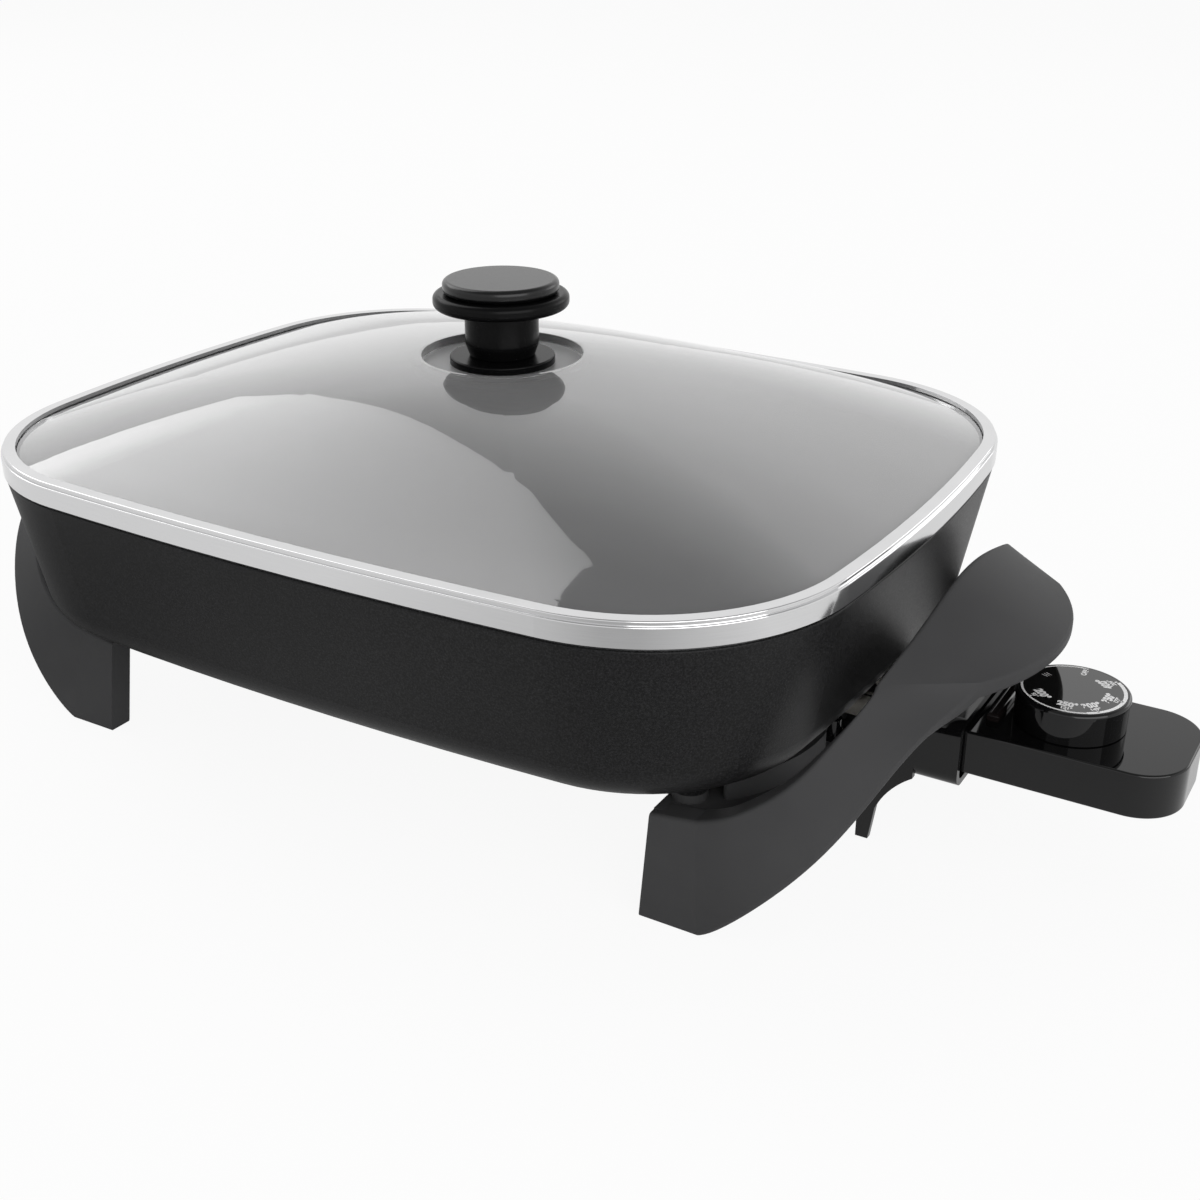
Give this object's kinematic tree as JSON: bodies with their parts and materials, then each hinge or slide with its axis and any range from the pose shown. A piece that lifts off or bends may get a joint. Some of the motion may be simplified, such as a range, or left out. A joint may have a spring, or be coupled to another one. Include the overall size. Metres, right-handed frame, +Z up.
{
  "type": "electric skillet",
  "caption": "Rectangular electric skillet with a lift-off domed glass lid, a grip and feet at each end, and a plug-in heat control with a temperature dial.",
  "frame": {"origin": "middle of the whole part's plan box, on the surface that it stands on", "axes": "+X along the pan towards the heat control, +Z up, -Y towards the side seen in front"},
  "size_m": [0.5358, 0.3042, 0.1915],
  "materials": {
    "cast_pan": "dark non-stick coating with fine speckle",
    "moulded_black": "satin black moulded phenolic",
    "gloss_black": "glossy black",
    "lid_glass": "tempered glass with a grey tint",
    "band_metal": "satin bright metal",
    "seal_rubber": "black silicone",
    "element_steel": "heat-dulled steel sheath",
    "terminal_metal": "plated pins and probe",
    "ceramic": "unglazed off-white ceramic",
    "fastener_steel": "zinc-plated steel",
    "spring_brass": "rolled brass strip",
    "insulating_board": "brown phenolic",
    "lamp_glass": "small neon lamp",
    "lens_plastic": "dark smoked lens",
    "dial_print": "printed dial face",
    "wire_sheath": "black insulated wire"
  },
  "bodies": {
    "cooker": {"pan": "cast_pan", "heating_element": "element_steel", "terminal_pins": "terminal_metal", "terminal_insulators": "ceramic", "left_handle": "moulded_black", "right_handle": "moulded_black", "handle_spacers": "moulded_black", "handle_screws": "fastener_steel", "socket_guard": "gloss_black", "guard_screws": "fastener_steel"},
    "lid": {"lid_glass": "lid_glass", "lid_band": "band_metal", "lid_gasket": "seal_rubber", "knob_base": "moulded_black", "knob_grip": "moulded_black", "knob_cap": "moulded_black", "knob_insert": "spring_brass", "knob_screw": "fastener_steel", "knob_washer": "fastener_steel", "knob_seals": "seal_rubber"},
    "control": {"control_housing": "gloss_black", "control_base": "gloss_black", "control_screws": "fastener_steel", "probe_tube": "terminal_metal", "probe_plate": "insulating_board", "sensor_rod": "fastener_steel", "terminal_sockets": "spring_brass", "terminal_block": "insulating_board", "contact_arm": "spring_brass", "setting_arm": "fastener_steel", "contact_rivets": "fastener_steel", "pilot_lens": "lens_plastic", "pilot_lamp": "lamp_glass", "cord_grommet": "seal_rubber", "cord_clamp": "insulating_board", "clamp_screws": "fastener_steel", "lead_wires": "wire_sheath"},
    "dial": {"dial_knob": "gloss_black", "dial_plate": "dial_print", "dial_shaft": "fastener_steel", "dial_clip": "fastener_steel"}
  },
  "joints": [
    {"name": "lid_lift", "type": "slide", "parent": "cooker", "child": "lid", "axis": [0, 0, 1], "range_m": [0, 0.15]},
    {"name": "control_plug", "type": "slide", "parent": "cooker", "child": "control", "axis": [1, 0, 0], "range_m": [0, 0.1]},
    {"name": "dial_turn", "type": "hinge", "parent": "control", "child": "dial", "pos_m": [0.22235, 0, 0.064], "axis": [0, 0, -1], "range_deg": [0, 315]}
  ]
}
